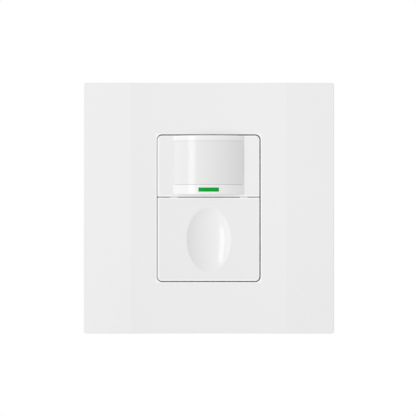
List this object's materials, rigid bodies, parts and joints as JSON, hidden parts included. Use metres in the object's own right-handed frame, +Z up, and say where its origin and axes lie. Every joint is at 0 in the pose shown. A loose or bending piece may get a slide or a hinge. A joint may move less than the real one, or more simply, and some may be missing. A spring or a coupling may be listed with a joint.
{
  "type": "motion sensor light switch",
  "caption": "Wall switch with a square screwless plate, a curved motion sensor lens over a rocking push button, and a relay box behind a steel mounting frame.",
  "frame": {"origin": "middle of the device face on the wall plane, midway between the two box screws", "axes": "+X to the right seen from the room, +Z up the wall, +Y into the wall; the face looks along -Y"},
  "size_m": [0.116, 0.0505, 0.116],
  "materials": {
    "plate_white": "satin moulded",
    "cover_white": "satin moulded",
    "button_white": "satin moulded",
    "lens_milk": "milky sheet",
    "status_green": "clear tinted",
    "retainer_dark": "moulded",
    "chassis_grey": "moulded",
    "housing_grey": "fine texture",
    "zinc_steel": "zinc plated",
    "screw_steel": "zinc plated",
    "spring_steel": "drawn wire",
    "ground_green": "green dyed",
    "terminal_brass": "bright",
    "board_green": "solder mask",
    "board_tan": "paper laminate",
    "sensor_can": "nickel plated",
    "filter_dark": "dark filter",
    "cell_amber": "clear epoxy",
    "led_pale": "clear epoxy",
    "black_plastic": "moulded",
    "ivory_plastic": "moulded",
    "trimmer_blue": "moulded",
    "relay_blue": "moulded",
    "relay_iron": "plated",
    "coil_copper": "enamelled wire",
    "chip_tan": "ceramic",
    "sheet_tan": "pressed fibre",
    "can_violet": "sleeve",
    "film_yellow": "cast resin",
    "varistor_blue": "dipped",
    "ferrite": "sintered"
  },
  "bodies": {
    "switch_body": {"wall_plate": "plate_white", "mounting_frame": "zinc_steel", "box_screws": "screw_steel", "ground_screw": "ground_green", "front_cover": "cover_white", "fresnel_lens": "lens_milk", "lens_retainer": "retainer_dark", "light_pipe": "status_green", "button_spring": "spring_steel", "chassis": "chassis_grey", "control_board": "board_green", "board_screws": "screw_steel", "pir_can": "sensor_can", "pir_window": "filter_dark", "photocell": "cell_amber", "status_led": "led_pale", "tact_body": "black_plastic", "trimmer_bodies": "trimmer_blue", "microcontroller": "black_plastic", "chip_parts": "chip_tan", "board_link": "black_plastic", "insulator_sheet": "sheet_tan", "power_board": "board_tan", "relay_base": "relay_blue", "relay_yoke": "relay_iron", "relay_coil": "coil_copper", "relay_contact": "terminal_brass", "relay_case": "black_plastic", "bulk_capacitor": "can_violet", "film_capacitor": "film_yellow", "varistor": "varistor_blue", "fuse": "black_plastic", "inductor": "ferrite", "rectifier": "black_plastic", "terminal_plates": "terminal_brass", "terminal_screws": "terminal_brass", "rear_housing": "housing_grey", "housing_screws": "screw_steel"},
    "button": {"push_button": "button_white"},
    "plunger": {"tact_plunger": "ivory_plastic"},
    "time_knob": {"time_dial": "ivory_plastic"},
    "light_knob": {"light_dial": "ivory_plastic"},
    "armature": {"relay_armature": "relay_iron"}
  },
  "joints": [
    {"name": "button_press", "type": "hinge", "parent": "switch_body", "child": "button", "pos_m": [0, -0.0039, 0.00923], "axis": [1, 0, 0], "range_deg": [0, 2], "stiffness_Nm_per_rad": 1, "springref_deg": -2.86, "deforming": ["button_spring"]},
    {"name": "tact_press", "type": "slide", "parent": "switch_body", "child": "plunger", "axis": [0, 1, 0], "range_m": [0, 0.00048]},
    {"name": "time_set", "type": "hinge", "parent": "switch_body", "child": "time_knob", "pos_m": [-0.01, 0, -0.01625], "axis": [0, -1, 0], "range_deg": [-135, 135]},
    {"name": "light_set", "type": "hinge", "parent": "switch_body", "child": "light_knob", "pos_m": [0.01, 0, -0.01625], "axis": [0, -1, 0], "range_deg": [-135, 135]},
    {"name": "relay_pull", "type": "hinge", "parent": "switch_body", "child": "armature", "pos_m": [-0.005, 0.0265, -0.0069], "axis": [-1, 0, 0], "range_deg": [0, 4], "stiffness_Nm_per_rad": 0.05, "springref_deg": -2.86}
  ],
  "couplings": [
    {"joint": "tact_press", "follows": "button_press", "m_per_rad": 0.01375}
  ]
}
